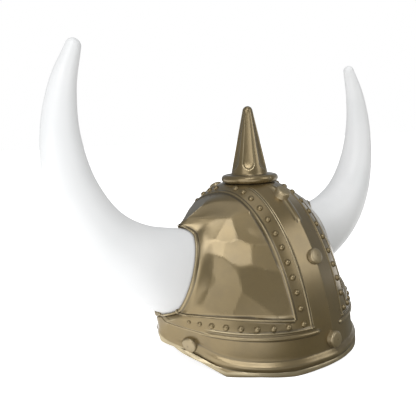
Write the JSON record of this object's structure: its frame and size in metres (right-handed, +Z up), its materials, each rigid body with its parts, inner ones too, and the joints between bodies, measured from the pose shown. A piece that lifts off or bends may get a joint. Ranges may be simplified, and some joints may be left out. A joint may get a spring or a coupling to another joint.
{
  "type": "horned costume helmet",
  "caption": "Moulded costume helmet with a domed shell, studded bands, a fluted crown spike, domed rivets and a pair of upswept horns.",
  "frame": {"origin": "on the ground, under the middle of the helmet's whole box", "axes": "+Z up, the front of the helmet faces -Y, horn_right points to +X, which is on the right as seen from the front"},
  "size_m": [0.4428, 0.2364, 0.3012],
  "materials": {
    "shell": "antique bronze paint, satin, with lighter worn edges",
    "spike": "antique bronze paint, satin",
    "rivet": "antique bronze paint, satin, lighter on top",
    "horn": "white blow-moulded plastic, soft satin"
  },
  "bodies": {
    "root": {"helmet_shell": "shell", "crown_spike": "spike", "horn_left": "horn", "horn_right": "horn", "rivet_front_upper": "rivet", "rivet_front_middle": "rivet", "rivet_front_brim": "rivet", "rivet_back_upper": "rivet", "rivet_back_middle": "rivet", "rivet_back_brim": "rivet", "rivet_right_front": "rivet", "rivet_right_back": "rivet", "rivet_left_front": "rivet", "rivet_left_back": "rivet"}
  },
  "joints": []
}
